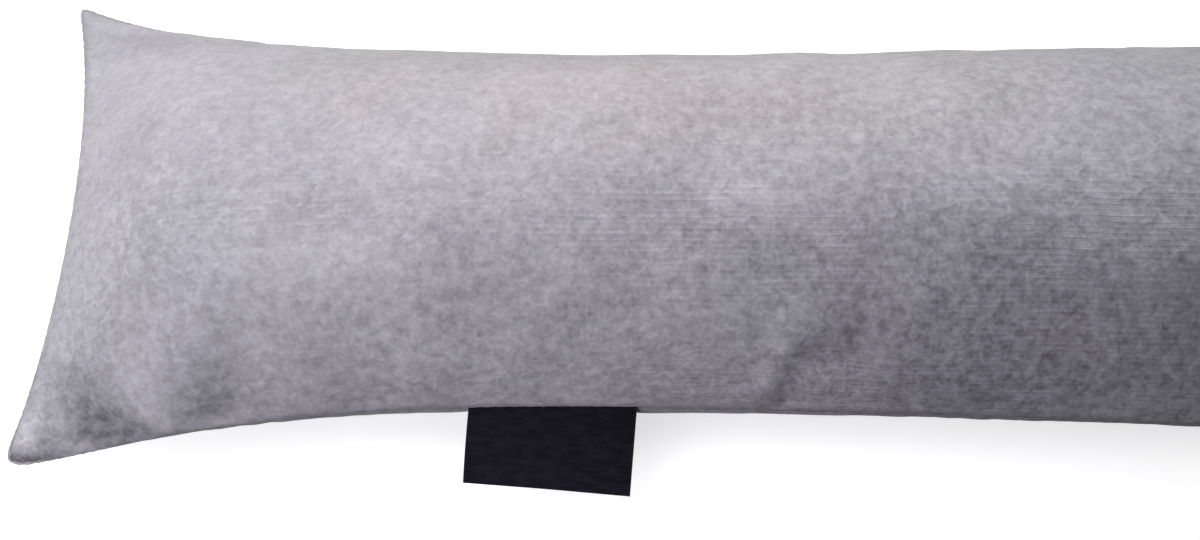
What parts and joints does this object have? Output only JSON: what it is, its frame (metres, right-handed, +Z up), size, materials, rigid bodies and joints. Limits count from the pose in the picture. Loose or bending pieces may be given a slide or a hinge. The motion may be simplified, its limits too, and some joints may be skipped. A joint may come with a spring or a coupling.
{
  "type": "draught excluder cushion",
  "caption": "Long stuffed velour cushion that lies along the foot of a door, its sides drawn in between pointed corners, with a plain dark folded label in its front seam.",
  "frame": {"origin": "middle of the flat patch that the cushion rests on, on the surface it lies on", "axes": "+X along the cushion, away from the end near the label; +Z up, through the crown; the long seam with the label is towards -Y"},
  "size_m": [0.894, 0.2017, 0.1078],
  "materials": {
    "velour": "short cut pile, grey, matt with a soft sheen",
    "label_tape": "close woven black tape, slightly lustrous"
  },
  "bodies": {
    "root": {"cushion": "velour", "label": "label_tape"}
  },
  "joints": []
}
